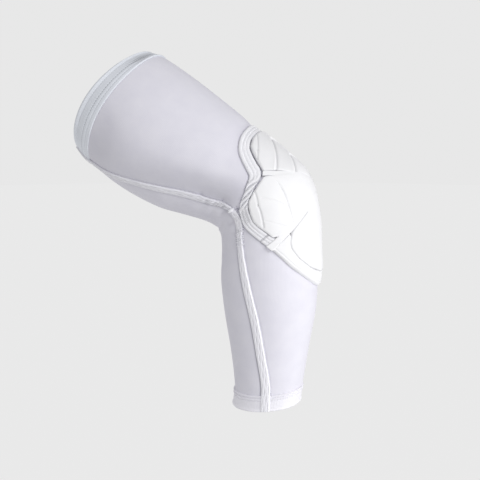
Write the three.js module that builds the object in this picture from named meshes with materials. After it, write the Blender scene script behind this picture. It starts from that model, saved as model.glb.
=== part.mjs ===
// Padded arm sleeve in its worn form: a knit tube bent at the elbow, with a sewn-on foam pad.
// Millimetres, +Z up. The arm bends in the XZ plane, its outer side faces +X at the elbow,
// the near side faces -Y, and the origin is the middle of the elbow.
import * as THREE from "three";

const DEGREE = Math.PI / 180;

// Thicknesses and gaps
const CLOTH = 1.2;
const HEM = 2.4;
const SEAM_RISE = 1.0;
const BAR_RISE = 3.7;
const CELL_RISE = 4.6;
const GAP = 0.3;
const SEAM_LIFT = 0.85;
const PAD_LIFT = CLOTH / 2 + 0.7;

// Widths
const UPPER_HEM_WIDTH = 19;
const LOWER_HEM_WIDTH = 16;
const RIM_BOW = 5.5;
const HEM_PROFILE = [0, 0.12, 0.88, 1];
const SEAM_WIDTH = 6.6;
const SEAM_START = 0.6;
const GROOVE = 1.4;
const CELL_CORNER = 2.2;

// Heights across the two bands of the pad, from the outer to the inner edge.
const BORDER_PROFILE = [0.8, 1.5, 2.2, 2.8];
const LOWER_BAND_PROFILE = [1.6, 2.6, 3, 3.2];

// The pad is laid out flat: along the arm's outer side, and round it at this radius.
// Its middle lies here along the arm.
const PAD_RADIUS = 45;
const PAD_MIDDLE = 195;

// Sections of the worn sleeve from the upper edge to the lower edge. x and z place a section's middle,
// lean is the direction of its outer side in degrees from +X, width and depth are half sizes,
// and seam is how far round from the outer side the side seams run, in degrees.
const SECTIONS = [
  { at: "upper edge", x: -150.5, z: 90.5, lean: 53.5, width: 54.5, depth: 52, seam: 157 },
  { at: "upper hem", x: -139.5, z: 83, lean: 54.5, width: 58.5, depth: 55.5, seam: 155 },
  { at: "biceps", x: -111, z: 63, lean: 56, width: 60, depth: 57, seam: 141.5 },
  { at: "upper arm", x: -77, z: 42.5, lean: 58, width: 56.5, depth: 54, seam: 126.3 },
  { at: "above elbow", x: -52.5, z: 31, lean: 60, width: 50.5, depth: 50, seam: 119.8 },
  { at: "pad top", x: -37.5, z: 22, lean: 59, width: 45.5, depth: 47, seam: 117.8 },
  { at: "fold", x: -22, z: 11.5, lean: 47.5, width: 44, depth: 45, seam: 110.5 },
  { at: "elbow", x: -8.5, z: -2, lean: 34, width: 45, depth: 44, seam: 107.8 },
  { at: "below elbow", x: -3.5, z: -23, lean: 21.5, width: 44, depth: 43.5, seam: 109.5 },
  { at: "pad middle", x: -2.5, z: -45, lean: 10, width: 43, depth: 43, seam: 106.8 },
  { at: "pad end", x: -2, z: -70.5, lean: 3, width: 43.5, depth: 42.5, seam: 102.2 },
  { at: "forearm", x: -1, z: -98, lean: 4, width: 41.5, depth: 40, seam: 96.3 },
  { at: "lower forearm", x: -1, z: -132.5, lean: 5, width: 36, depth: 34.5, seam: 89.8 },
  { at: "wrist", x: -1.5, z: -161.5, lean: 5.5, width: 32.2, depth: 30.5, seam: 82.8 },
  { at: "lower hem", x: -2.4, z: -174.5, lean: 6, width: 31, depth: 29, seam: 82 },
  { at: "lower edge", x: -4, z: -187, lean: 6, width: 31, depth: 28.5, seam: 80 },
];

// Soft folds of the cloth beside the inner elbow: middle, half length along, half width round, and depth.
const FOLDS = [
  { at: "inner elbow", along: 148, turn: 109, length: 16, spread: 13, depth: 3.2 },
  { at: "upper pucker", along: 124, turn: 126, length: 7, spread: 12, depth: 0.6 },
  { at: "lower pucker", along: 142, turn: 129, length: 7, spread: 14, depth: 0.7 },
  { at: "inner bend", along: 172, turn: 150, length: 8, spread: 24, depth: 1.8 },
  { at: "below the hem", along: 22, turn: 116, length: 14, spread: 32, depth: 1.8 },
  { at: "drag from the biceps", along: 62, turn: 131, length: 24, spread: 15, depth: 1.8 },
  { at: "drag along the seam", along: 92, turn: 119, length: 22, spread: 15, depth: 2.2 },
  { at: "drag into the elbow", along: 120, turn: 110, length: 18, spread: 14, depth: 2.2 },
];

// Near halves of the two bands that edge the pad, from the lower bar's end to the outer side:
// distance along the outer side, turn round the arm in degrees, and width of the band inwards from there.
const BORDER = [
  { along: 233, turn: 78.8, band: 9.3 },
  { along: 228, turn: 83.7, band: 9.1 },
  { along: 216, turn: 93, band: 8.5 },
  { along: 204, turn: 100.5, band: 8.9 },
  { along: 192, turn: 102.6, band: 9 },
  { along: 180, turn: 100, band: 8.1 },
  { along: 170, turn: 92.3, band: 7.2 },
  { along: 164, turn: 82, band: 7.2 },
  { along: 159.5, turn: 74.5, band: 7.9 },
  { along: 154.5, turn: 65, band: 9.9 },
  { along: 147, turn: 61, band: 9.5 },
  { along: 137, turn: 55.5, band: 9.4 },
  { along: 128.5, turn: 48, band: 9.4 },
  { along: 122.5, turn: 35, band: 9.4 },
  { along: 119.7, turn: 16, band: 9.4 },
  { along: 119, turn: 0, band: 9.4 },
];
const LOWER_BAND = [
  { along: 239.8, turn: 71.8, band: 14.6 },
  { along: 250, turn: 61.5, band: 10.9 },
  { along: 259, turn: 52, band: 8.9 },
  { along: 272, turn: 31, band: 8.8 },
  { along: 281, turn: 10, band: 11.2 },
  { along: 282.5, turn: 0, band: 11.8 },
];

// Middle lines of the two raised bars, from the near border to the outer side, with the bar's width.
const UPPER_BAR = [
  { along: 163.5, turn: 52.2, band: 4.8 },
  { along: 170, turn: 44.3, band: 4.8 },
  { along: 178, turn: 31, band: 4.4 },
  { along: 187, turn: 13.5, band: 4.4 },
  { along: 190.5, turn: 0, band: 4.8 },
];
const LOWER_BAR = [
  { along: 235.6, turn: 74.2, band: 7.2 },
  { along: 225.5, turn: 56, band: 6.8 },
  { along: 219, turn: 44.5, band: 6.4 },
  { along: 210.5, turn: 28, band: 6.2 },
  { along: 205, turn: 12, band: 6.2 },
  { along: 203.5, turn: 0, band: 6.2 },
];

// Corners of the foam cells on the near side, at the middles of their grooves,
// with the width of the slope from the groove up to the cell's top at each corner.
const SIDE_CELLS = {
  pad_upper: [
    { along: 129.5, turn: 0, slope: 1.2 },
    { along: 129.6, turn: 16, slope: 1.2 },
    { along: 130.4, turn: 25, slope: 3.6 },
    { along: 134.5, turn: 37, slope: 5.4 },
    { along: 140.5, turn: 42.3, slope: 4.6 },
    { along: 150, turn: 47.7, slope: 1.4 },
    { along: 160, turn: 51.3, slope: 1.2 },
    { along: 166.5, turn: 41, slope: 3.2 },
    { along: 139.5, turn: 0, slope: 3.2 },
  ],
  pad_rib: [
    { along: 139.5, turn: 0, slope: 0.8 },
    { along: 166.5, turn: 41, slope: 0.8 },
    { along: 179.5, turn: 25.5, slope: 3 },
    { along: 161.5, turn: 0, slope: 3 },
  ],
  pad_wedge: [
    { along: 170.2, turn: 50.5, slope: 1 },
    { along: 215, turn: 49.2, slope: 1 },
    { along: 198.6, turn: 5, slope: 2 },
    { along: 196, turn: 5, slope: 2 },
  ],
  pad_side: [
    { along: 170.2, turn: 50.5, slope: 2.4 },
    { along: 166, turn: 56, slope: 1.6 },
    { along: 167.5, turn: 66, slope: 1.6 },
    { along: 171, turn: 77, slope: 4.5 },
    { along: 175.5, turn: 85.5, slope: 8.5 },
    { along: 181.5, turn: 89, slope: 10 },
    { along: 190, turn: 90.8, slope: 10 },
    { along: 200, turn: 90, slope: 7.8 },
    { along: 207, turn: 86.5, slope: 4.6 },
    { along: 213.5, turn: 81.5, slope: 1.6 },
    { along: 224, turn: 69, slope: 1.6 },
    { along: 225.5, turn: 63, slope: 1.6 },
    { along: 215, turn: 49.2, slope: 2.4 },
  ],
};

// Near half of the cells that cross the outer side, from their upper to their lower corner.
const MIDDLE_CELLS = {
  pad_diamond: [
    { along: 161.5, turn: 0, slope: 0.8 },
    { along: 179.5, turn: 25.5, slope: 0.8 },
    { along: 186.5, turn: 0, slope: 1.5 },
  ],
  pad_lower: [
    { along: 208.5, turn: 0, slope: 2.5 },
    { along: 214, turn: 26, slope: 2 },
    { along: 222, turn: 41, slope: 1.6 },
    { along: 229, turn: 50, slope: 1.6 },
    { along: 235, turn: 53, slope: 1.6 },
    { along: 242.5, turn: 51, slope: 1.6 },
    { along: 252, turn: 43, slope: 1.8 },
    { along: 261.5, turn: 28, slope: 2 },
    { along: 268, turn: 8, slope: 2 },
    { along: 268.5, turn: 0, slope: 2 },
  ],
};

// Mesh steps
const PANEL_ROWS = 32;
const OUTER_COLUMNS = 22;
const INNER_COLUMNS = 10;
const HEM_COLUMNS = 36;
const BORDER_STEPS = 54;
const LOWER_BAND_STEPS = 20;
const BAR_STEPS = 18;
const CELL_STEP = 9;

// Distance of each section along the outer side from the upper edge.
const STATIONS = [0];
SECTIONS.forEach((section, i) => {
  if (i > 0) {
    STATIONS.push(STATIONS[i - 1] + outerPoint(SECTIONS[i - 1]).distanceTo(outerPoint(section)));
  }
});
const LENGTH = STATIONS[STATIONS.length - 1];

function outerPoint(section) {
  const lean = section.lean * DEGREE;
  return new THREE.Vector2(
    section.x + section.width * Math.cos(lean),
    section.z + section.width * Math.sin(lean),
  );
}

// A column of the section table at a distance along the arm, on a smooth curve through its rows.
function sizeAt(column, along) {
  const last = SECTIONS.length - 1;
  let i = 0;
  while (i < last - 1 && along > STATIONS[i + 1]) {
    i += 1;
  }
  const rise = (a, b) => (SECTIONS[b][column] - SECTIONS[a][column]) / (STATIONS[b] - STATIONS[a]);
  const span = STATIONS[i + 1] - STATIONS[i];
  const t = (along - STATIONS[i]) / span;
  const from = SECTIONS[i][column];
  const to = SECTIONS[i + 1][column];
  const slopeFrom = rise(Math.max(i - 1, 0), i + 1) * span;
  const slopeTo = rise(i, Math.min(i + 2, last)) * span;
  const bend = 2 * (from - to) + slopeFrom + slopeTo;
  const lift = 3 * (to - from) - 2 * slopeFrom - slopeTo;
  return from + t * (slopeFrom + t * (lift + t * bend));
}

// Depth of the folds at a point of the cloth.
function foldDepth(along, turn) {
  const round = Math.abs(turn > 180 ? turn - 360 : turn);
  return FOLDS.reduce((sum, fold) => {
    const a = (along - fold.along) / fold.length;
    const b = (round - fold.turn) / fold.spread;
    return sum + fold.depth * Math.exp(-a * a - b * b);
  }, 0);
}

// A point of the cloth's middle surface. turn runs from -180 to 180 degrees, with 0 on the outer side.
function onCloth(along, turn) {
  const lean = sizeAt("lean", along) * DEGREE;
  const outward = sizeAt("width", along) * Math.cos(turn * DEGREE);
  const sideways = sizeAt("depth", along) * Math.sin(turn * DEGREE);
  const fromMiddle = new THREE.Vector3(outward * Math.cos(lean), -sideways, outward * Math.sin(lean));
  fromMiddle.setLength(fromMiddle.length() - foldDepth(along, turn));
  return fromMiddle.add(new THREE.Vector3(sizeAt("x", along), 0, sizeAt("z", along)));
}

// The same point lifted off the cloth along its outward direction.
function above(along, turn, lift) {
  const step = 0.2;
  const point = onCloth(along, turn);
  const down = onCloth(along + step, turn).sub(onCloth(along - step, turn));
  const round = onCloth(along, turn + step).sub(onCloth(along, turn - step));
  return point.addScaledVector(round.cross(down).normalize(), lift);
}

// The same for a point of the flat pad layout.
function abovePad(point, lift) {
  return above(point.x, point.y / PAD_RADIUS / DEGREE, lift);
}

function flat({ along, turn }) {
  return new THREE.Vector2(along, turn * DEGREE * PAD_RADIUS);
}

function mirrored(rows) {
  return rows.map((row) => ({ ...row, turn: -row.turn }));
}

function facingOut(points, faces) {
  const volume = faces.reduce((sum, [a, b, c]) => {
    return sum + points[a].dot(new THREE.Vector3().crossVectors(points[b], points[c]));
  }, 0);
  return volume > 0 ? faces : faces.map(([a, b, c]) => [a, c, b]);
}

function solid(points, faces) {
  const geometry = new THREE.BufferGeometry();
  geometry.setFromPoints(points);
  geometry.setIndex(facingOut(points, faces).flat());
  geometry.computeVertexNormals();
  return geometry;
}

// A closed slab over a grid of rows and columns: place(i, j, side) gives its points,
// with side 0 underneath and side 1 on top. A looped slab joins its last row to its first.
function slab(rows, columns, place, looped = false) {
  const rowCount = looped ? rows : rows + 1;
  const points = [];
  for (const side of [0, 1]) {
    for (let i = 0; i < rowCount; i += 1) {
      for (let j = 0; j <= columns; j += 1) {
        points.push(place(i, j, side));
      }
    }
  }
  const index = (i, j, side) => (side * rowCount + (i % rowCount)) * (columns + 1) + j;
  const faces = [];
  const quad = (a, b, c, d) => faces.push([a, b, c], [a, c, d]);
  for (let i = 0; i < rows; i += 1) {
    for (let j = 0; j < columns; j += 1) {
      quad(index(i, j, 1), index(i, j + 1, 1), index(i + 1, j + 1, 1), index(i + 1, j, 1));
      quad(index(i, j, 0), index(i + 1, j, 0), index(i + 1, j + 1, 0), index(i, j + 1, 0));
    }
    quad(index(i, 0, 0), index(i, 0, 1), index(i + 1, 0, 1), index(i + 1, 0, 0));
    quad(index(i, columns, 0), index(i + 1, columns, 0), index(i + 1, columns, 1), index(i, columns, 1));
  }
  for (let j = 0; j < columns && !looped; j += 1) {
    quad(index(0, j, 0), index(0, j + 1, 0), index(0, j + 1, 1), index(0, j, 1));
    quad(index(rows, j, 0), index(rows, j, 1), index(rows, j + 1, 1), index(rows, j + 1, 0));
  }
  return solid(points, faces);
}

// Share of the full rise at the columns across a band: low at its edges, full between them.
function crown(j, columns, edge) {
  return j === 0 || j === columns ? edge : 1;
}

// Distance along of the upper rim, which bows up on the near and far sides.
function upperRim(turn) {
  return -RIM_BOW * Math.sin(turn * DEGREE) ** 2;
}

// Knit panel between two turns that follow the seam, from hem to hem. Its upper edge bows like the rim.
function panel(columns, turnFrom, turnTo) {
  const start = UPPER_HEM_WIDTH + GAP;
  const end = LENGTH - LOWER_HEM_WIDTH - GAP;
  return slab(PANEL_ROWS, columns, (i, j, side) => {
    const along = start + ((end - start) * i) / PANEL_ROWS;
    const turn = turnFrom(along) + ((turnTo(along) - turnFrom(along)) * j) / columns;
    const bow = upperRim(turn) * (1 - i / PANEL_ROWS) ** 3;
    return above(along + bow, turn, (side - 0.5) * CLOTH);
  });
}

// Half of the gap between the panels, as a turn in degrees.
function seamGap(along) {
  return GAP / 2 / sizeAt("depth", along) / DEGREE;
}

function outerPanel() {
  const edge = (along) => sizeAt("seam", along) - seamGap(along);
  return panel(OUTER_COLUMNS, (along) => -edge(along), edge);
}

function innerPanel() {
  const edge = (along) => sizeAt("seam", along) + seamGap(along);
  return panel(INNER_COLUMNS, edge, (along) => 360 - edge(along));
}

// Places along a seam with its lift off the cloth's middle: it climbs over the hem at both ends.
function seamRows() {
  const onPanel = CLOTH / 2 + SEAM_LIFT;
  const onHem = HEM / 2 + SEAM_LIFT;
  const upperEdge = UPPER_HEM_WIDTH + upperRim(SECTIONS[0].seam);
  const start = upperEdge + HEM;
  const end = LENGTH - LOWER_HEM_WIDTH - HEM;
  const between = Array.from({ length: PANEL_ROWS }, (_, i) => {
    return { along: start + ((end - start) * i) / (PANEL_ROWS - 1), lift: onPanel };
  });
  return [
    { along: SEAM_START, lift: onHem },
    { along: upperEdge, lift: onHem },
    ...between,
    { along: LENGTH - LOWER_HEM_WIDTH, lift: onHem },
    { along: LENGTH - SEAM_START, lift: onHem },
  ];
}

// Raised flat seam over the line where the panels meet. hand is 1 on the near side, -1 on the far side.
function sideSeam(hand) {
  const columns = 4;
  const rows = seamRows();
  return slab(rows.length - 1, columns, (i, j, side) => {
    const { along, lift } = rows[i];
    const across = ((j / columns - 0.5) * SEAM_WIDTH) / sizeAt("depth", along) / DEGREE;
    const top = side * SEAM_RISE * crown(j, columns, 0.45);
    return above(along, hand * (sizeAt("seam", along) + across), lift + top);
  });
}

// Doubled edge band: a ring from its rim to its sewn edge, thinner at both.
function hem(rimAt, edgeAt) {
  const columns = HEM_PROFILE.length - 1;
  return slab(
    HEM_COLUMNS,
    columns,
    (i, j, side) => {
      const turn = (360 * i) / HEM_COLUMNS - 180;
      const along = rimAt(turn) + (edgeAt(turn) - rimAt(turn)) * HEM_PROFILE[j];
      return above(along, turn, (side - 0.5) * HEM * crown(j, columns, 0.55));
    },
    true,
  );
}

function upperHem() {
  return hem(upperRim, (turn) => upperRim(turn) + UPPER_HEM_WIDTH);
}

function lowerHem() {
  return hem(() => LENGTH, () => LENGTH - LOWER_HEM_WIDTH);
}

// A smooth line on the flat layout through rows of the near side, the outer side and their mirror images,
// with the band's width as its third number.
function lineAcross(rows) {
  const far = mirrored(rows.slice(0, -1)).reverse();
  const points = [...rows, ...far].map((row) => {
    const point = flat(row);
    return new THREE.Vector3(point.x, point.y, row.band);
  });
  return new THREE.CatmullRomCurve3(points, false, "centripetal");
}

// Stitched band along an edge of the pad. It reaches inwards from the edge by its own width.
function padBand(rows, steps, profile) {
  const columns = profile.length - 1;
  const edge = lineAcross(rows);
  return slab(steps, columns, (i, j, side) => {
    const spot = edge.getPointAt(i / steps);
    const run = edge.getTangentAt(i / steps);
    const inward = new THREE.Vector2(-run.y, run.x).normalize();
    if (inward.dot(new THREE.Vector2(PAD_MIDDLE - spot.x, -spot.y)) < 0) {
      inward.negate();
    }
    const point = new THREE.Vector2(spot.x, spot.y).addScaledVector(inward, (spot.z * j) / columns);
    return abovePad(point, PAD_LIFT + side * profile[j]);
  });
}

// Raised bar across the pad, on both sides of its middle line.
function padBar(rows) {
  const columns = 3;
  const middle = lineAcross(rows);
  return slab(BAR_STEPS, columns, (i, j, side) => {
    const spot = middle.getPointAt(i / BAR_STEPS);
    const run = middle.getTangentAt(i / BAR_STEPS);
    const across = (j / columns - 0.5) * spot.z;
    const sideways = new THREE.Vector2(-run.y, run.x).normalize();
    const point = new THREE.Vector2(spot.x, spot.y).addScaledVector(sideways, across);
    return abovePad(point, PAD_LIFT + side * BAR_RISE * crown(j, columns, 0.6));
  });
}

// The corners of a cell moved inwards, each by its own distance.
function inset(corners, distances) {
  const count = corners.length;
  const middle = corners.reduce((sum, c) => sum.add(c), new THREE.Vector2()).divideScalar(count);
  return corners.map((corner, i) => {
    const toCorner = new THREE.Vector2().subVectors(corner, corners[(i + count - 1) % count]).normalize();
    const toNext = new THREE.Vector2().subVectors(corners[(i + 1) % count], corner).normalize();
    const halfTurn = Math.max(Math.cos(toCorner.angleTo(toNext) / 2), 0.4);
    const inward = new THREE.Vector2(-toCorner.y - toNext.y, toCorner.x + toNext.x).normalize();
    if (inward.dot(new THREE.Vector2().subVectors(middle, corner)) < 0) {
      inward.negate();
    }
    return corner.clone().addScaledVector(inward, distances[i] / halfTurn);
  });
}

// A cell's outline with clipped corners and even steps. counts gives the steps of each side.
function outlineOf(corners, counts) {
  const count = corners.length;
  const points = [];
  corners.forEach((corner, i) => {
    const next = corners[(i + 1) % count];
    const length = corner.distanceTo(next);
    const clip = Math.min(CELL_CORNER / length, 0.3);
    for (let k = 0; k <= counts[i]; k += 1) {
      points.push(corner.clone().lerp(next, clip + ((1 - 2 * clip) * k) / counts[i]));
    }
  });
  return points;
}

// Foam cell: a closed block that follows the arm, with a slope up to a slightly crowned top.
function foamCell(rows) {
  const marks = rows.map(flat);
  const foot = inset(marks, rows.map(() => GROOVE / 2));
  const top = inset(marks, rows.map((row) => GROOVE / 2 + row.slope));
  const counts = foot.map((corner, i) => {
    return Math.max(1, Math.round(corner.distanceTo(foot[(i + 1) % foot.length]) / CELL_STEP));
  });
  const footLine = outlineOf(foot, counts);
  const topLine = outlineOf(top, counts);
  const size = footLine.length;
  const middle = topLine.reduce((sum, p) => sum.add(p), new THREE.Vector2()).divideScalar(size);
  const reach = Math.max(...topLine.map((p) => p.distanceTo(middle)));
  const rings = Math.max(2, Math.round(reach / (1.1 * CELL_STEP)));
  const points = [];
  const addRing = (line, share, lift) => {
    line.forEach((p) => points.push(abovePad(middle.clone().lerp(p, share), lift)));
  };
  for (let k = 1; k <= rings; k += 1) {
    addRing(footLine, k / rings, PAD_LIFT);
  }
  addRing(footLine, 1, PAD_LIFT + 0.3 * CELL_RISE);
  for (let k = rings; k >= 1; k -= 1) {
    addRing(topLine, k / rings, PAD_LIFT + CELL_RISE * (1 - 0.1 * (k / rings) ** 2));
  }
  const ringCount = points.length / size;
  const under = points.push(abovePad(middle, PAD_LIFT)) - 1;
  const over = points.push(abovePad(middle, PAD_LIFT + CELL_RISE)) - 1;
  const faces = [];
  for (let k = 0; k < size; k += 1) {
    const next = (k + 1) % size;
    faces.push([under, next, k]);
    for (let ring = 0; ring < ringCount - 1; ring += 1) {
      const low = ring * size;
      const high = low + size;
      faces.push([low + k, low + next, high + next], [low + k, high + next, high + k]);
    }
    const last = (ringCount - 1) * size;
    faces.push([last + k, last + next, over]);
  }
  return solid(points, faces);
}

function material(color, roughness) {
  return new THREE.MeshStandardMaterial({ color, roughness });
}

const knit = material(0xdcdbe2, 0.85);
const band = material(0xd2d3d8, 0.9);
const stitched = material(0xeeeef1, 0.9);
const foam = material(0xf6f6f8, 0.8);

const sleeve = new THREE.Group();

function add(name, geometry, cover) {
  const mesh = new THREE.Mesh(geometry, cover);
  mesh.name = name;
  sleeve.add(mesh);
}

add("outer_panel", outerPanel(), knit);
add("inner_panel", innerPanel(), knit);
add("seam_near", sideSeam(1), band);
add("seam_far", sideSeam(-1), band);
add("upper_hem", upperHem(), band);
add("lower_hem", lowerHem(), band);
add("pad_border", padBand(BORDER, BORDER_STEPS, BORDER_PROFILE), stitched);
add("pad_lower_band", padBand(LOWER_BAND, LOWER_BAND_STEPS, LOWER_BAND_PROFILE), stitched);
add("pad_upper_bar", padBar(UPPER_BAR), stitched);
add("pad_lower_bar", padBar(LOWER_BAR), stitched);
for (const [name, rows] of Object.entries(SIDE_CELLS)) {
  add(`${name}_near`, foamCell(rows), foam);
  add(`${name}_far`, foamCell(mirrored(rows)), foam);
}
for (const [name, rows] of Object.entries(MIDDLE_CELLS)) {
  add(name, foamCell([...rows, ...mirrored(rows.slice(1, -1)).reverse()]), foam);
}

export default sleeve;
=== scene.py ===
"""Padded arm sleeve in its worn form: two knit panels, side seams, hems and a sewn-on elbow pad.

The tables are in millimetres and degrees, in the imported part's own frame. Meshes are made in metres.
along is the distance down the sleeve's outer side from its upper edge, and turn the angle round the
sleeve from the outer side, positive towards the near side.
"""
import math

import bpy
import numpy as np
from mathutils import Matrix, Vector


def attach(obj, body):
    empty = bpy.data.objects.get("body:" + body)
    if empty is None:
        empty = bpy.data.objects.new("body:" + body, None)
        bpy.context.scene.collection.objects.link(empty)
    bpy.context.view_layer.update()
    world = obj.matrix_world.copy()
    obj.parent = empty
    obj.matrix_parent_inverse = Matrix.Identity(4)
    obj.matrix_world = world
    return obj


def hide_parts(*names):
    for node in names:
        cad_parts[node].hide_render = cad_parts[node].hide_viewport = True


MM = 0.001

# Thicknesses, lifts and widths
CLOTH = 1.2
HEM = 2.4
SEAM_RISE = 1.05
SEAM_SINK = 0.25
BORDER_OUTER_RISE = 1.7
BORDER_INNER_RISE = 3.3
LOWER_BAND_RISE = 3.6
BAR_RISE = 4.8
CELL_RISE = 5.5
PAD_SINK = 0.3
PAD_FOOT = CLOTH / 2 - PAD_SINK
GROOVE = 0.6
CELL_CORNER = 1.5
UPPER_HEM_WIDTH = 19.0
LOWER_HEM_WIDTH = 16.0
RIM_BOW = 5.5
HEM_NARROWING = {"width": 5.5, "half_turn": 48.0}
PAD_RADIUS = 45.0
PAD_MIDDLE = 195.0

# Sections of the sleeve from the upper to the lower edge: the middle's x and z, the direction of the
# outer side from +X, half width, half depth, and the turn of the side seams.
SECTION_COLUMNS = ("x", "z", "lean", "width", "depth", "seam")
SECTION_ROWS = np.array([
    (-150.5, 90.5, 53.5, 54.5, 52, 157),
    (-139.5, 83, 54.5, 58.5, 55.5, 156),
    (-111, 63, 56, 60, 57, 142.4),
    (-77, 42.5, 58, 56.5, 54, 126.9),
    (-52.5, 31, 60, 50.5, 50, 120.6),
    (-37.5, 22, 59, 45.5, 47, 117.8),
    (-22, 11.5, 47.5, 44, 45, 110.5),
    (-8.5, -2, 34, 45, 44, 107.8),
    (-3.5, -23, 21.5, 44, 43.5, 111),
    (-2.5, -45, 10, 43, 43, 108.8),
    (-2, -70.5, 3, 43.5, 42.5, 102.8),
    (-1, -98, 4, 41.5, 40, 96.3),
    (-1, -132.5, 5, 36, 34.5, 89.8),
    (-1.5, -161.5, 5.5, 32.2, 30.5, 82.8),
    (-2.4, -174.5, 6, 31, 29, 82),
    (-4, -187, 6, 31, 28.5, 80),
])
SECTIONS = dict(zip(SECTION_COLUMNS, SECTION_ROWS.T))

# Width of the side seams, which changes down the arm: along, width.
SEAM_WIDTHS = np.array([
    (0, 6.6),
    (120, 6.6),
    (150, 6),
    (172, 5.6),
    (190, 7.4),
    (200, 7.2),
    (214, 6),
    (228, 6),
    (275, 7.4),
])

# Folds beside the inner elbow and down the upper arm: middle along, middle turn, half length, half width
# in degrees, and depth, which is below 0 for a bulge.
FOLDS = np.array([
    (148, 109, 16, 13, 3.2),
    (124, 126, 7, 12, 0.6),
    (142, 129, 7, 14, 0.7),
    (172, 150, 9, 24, 1.8),
    (178, 178, 9, 20, -1.6),
    (22, 116, 14, 32, 1.8),
    (62, 131, 24, 15, 1.8),
    (92, 119, 22, 15, 2.2),
    (120, 110, 18, 14, 2.2),
])

# Small puckers that the seam's thread pulls into the cloth, in the same columns.
PUCKERS = np.array([
    (119, 114, 2.4, 3.5, 0.9),
    (146.5, 107.5, 2.4, 3.5, 1.2),
    (174.5, 101.5, 4, 2.4, 3.4),
    (161, 118, 3.5, 8, 0.9),
    (186, 118, 4, 9, 0.8),
    (203, 114, 4.5, 8, 0.5),
])

# Painted shade between the upper arm's drag fold and the seam: along, turn of the fold's edge, and how much
# darker.
FOLD_SHADE = np.array([
    (0, 78, 0.1), (40, 92, 0.06), (60, 97, 0.05), (85, 93, 0.13), (105, 89, 0.19),
    (123, 85, 0.21), (141, 79, 0.21), (160, 78, 0.17), (178, 82, 0),
])

# Near halves of the bands round the pad, from the lower bar's end to the outer side: along, turn, width.
BORDER = [
    (233, 78.8, 10), (228, 83.7, 9.8), (216, 93, 9.2), (204, 100.5, 9.6), (192, 103, 9.8),
    (180, 100.3, 8.8), (170, 92.5, 7.9), (164, 82, 7.9), (159.5, 74.5, 8.6), (154.5, 65, 10.6),
    (147, 61, 10.2), (137, 55.5, 10.1), (128.5, 48, 10.1), (122.5, 35, 10.1), (119.7, 16, 10.2),
    (119, 0, 10.2),
]
LOWER_BAND = [
    (238.9, 72.7, 20.2), (250, 61.5, 14), (259, 52, 11),
    (272, 31, 10), (281, 10, 13), (282.5, 0, 13.6),
]

# Middle lines of the raised bars from the near border to the outer side: along, turn, width.
UPPER_BAR = [
    (162, 53.8, 5.2), (170.4, 43.2, 5.2), (177.4, 31, 5.2), (187, 13.5, 5), (190.5, 0, 5),
]
LOWER_BAR = [
    (235.9, 75.8, 8.2), (224.6, 57, 6.6), (218.4, 45, 6.6),
    (210.3, 28, 5.6), (205, 12, 6), (203.5, 0, 6),
]

# Corners of the foam cells at the middles of their grooves: along, turn, width of the sloped edge, and
# how far the groove is closed there, from 0 for a deep open groove to 1 for none.
SIDE_CELLS = {
    "pad_upper": [
        (129.5, 0, 1.2, 0.3), (129.6, 16, 1.2, 0.1), (130.4, 25, 1.4, 0), (134.5, 37, 1.4, 0),
        (140.5, 42.3, 1.4, 0.1), (150, 47.7, 1.4, 0.2), (160.4, 51.2, 1.2, 0.9), (167.6, 41.2, 1.6, 0.9),
        (139.5, 0, 1.6, 0.35),
    ],
    "pad_rib": [
        (139.5, 0, 0.8, 0), (167.6, 41.2, 0.8, 0.8), (179.5, 25.5, 1.4, 0.8), (161.5, 0, 1.4, 0.4),
    ],
    "pad_wedge": [
        (169.4, 50.2, 1, 0.9), (186, 50.6, 1, 0.6), (201, 50.3, 1, 0.6), (216.4, 48.2, 1, 0.75),
        (200.3, 0.1, 2, 1), (193.2, 0.1, 2, 1),
    ],
    "pad_side": [
        (169.4, 50.2, 1.6, 1), (165.6, 56, 1.6, 0.85), (167.5, 66, 1.6, 0.25), (171, 77, 1.6, 0.1),
        (175.5, 85.5, 1.6, 0.1), (181.5, 89, 1.6, 0.1), (190, 90.8, 1.6, 0.15), (200, 90, 1.6, 0.2),
        (207, 86.5, 1.6, 0.25), (213.5, 81.5, 1.6, 0.3), (225.2, 71, 1.6, 0.9), (225, 63.6, 1.6, 1),
        (216.4, 48.2, 1.6, 0.85), (201, 50.3, 1.6, 0.6), (186, 50.6, 1.6, 0.6),
    ],
}
# Near half of the cells that cross the outer side.
MIDDLE_CELLS = {
    "pad_diamond": [(161.5, 0, 0.8, 0), (179.5, 25.5, 0.8, 0.3), (187.8, 0, 1.5, 1)],
    "pad_lower": [
        (206.4, 0, 2.5, 1), (207.9, 12, 2.2, 0.95), (212.8, 27, 2, 0.82), (220.4, 43.4, 1.6, 0.95),
        (225.6, 51, 1.6, 0.7), (230.5, 52.8, 1.6, 0.6), (236, 53.6, 1.6, 0.6), (242, 51.6, 1.6, 0.7),
        (252, 43.4, 1.8, 0.85), (262.3, 28.4, 2, 1), (269, 8, 2, 1), (269.6, 0, 2, 1),
    ],
}
# Lines pressed into the cells' covers, or raised as lips with values below 0: along and turn of both ends,
# depth, and painted shade along the line, a painted highlight below 0.
CREASES = {
    "pad_upper": [
        ((129, 14), (143, 37.5), 0.8, 0.14), ((143, 37.5), (151, 50), 0.8, 0.14),
        ((138.3, 1.3), (166.1, 42.5), -0.5, -0.5),
    ],
    "pad_rib": [((140.3, -0.8), (168.1, 40.4), 0.5, 0.22), ((160.5, 1.2), (178.5, 26.7), -0.4, -0.5)],
    "pad_diamond": [((162.3, -0.8), (180.3, 24.7), 0.5, 0.22)],
    "pad_side": [
        ((171, 73.6), (186, 79.4), 0.9, 0.16), ((186, 79.4), (211.5, 79.4), 0.9, 0.16),
        ((181.5, 72), (197, 55.5), 0.3, 0.04), ((205, 77), (218.5, 56.5), 0.3, 0.04),
    ],
}
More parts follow.
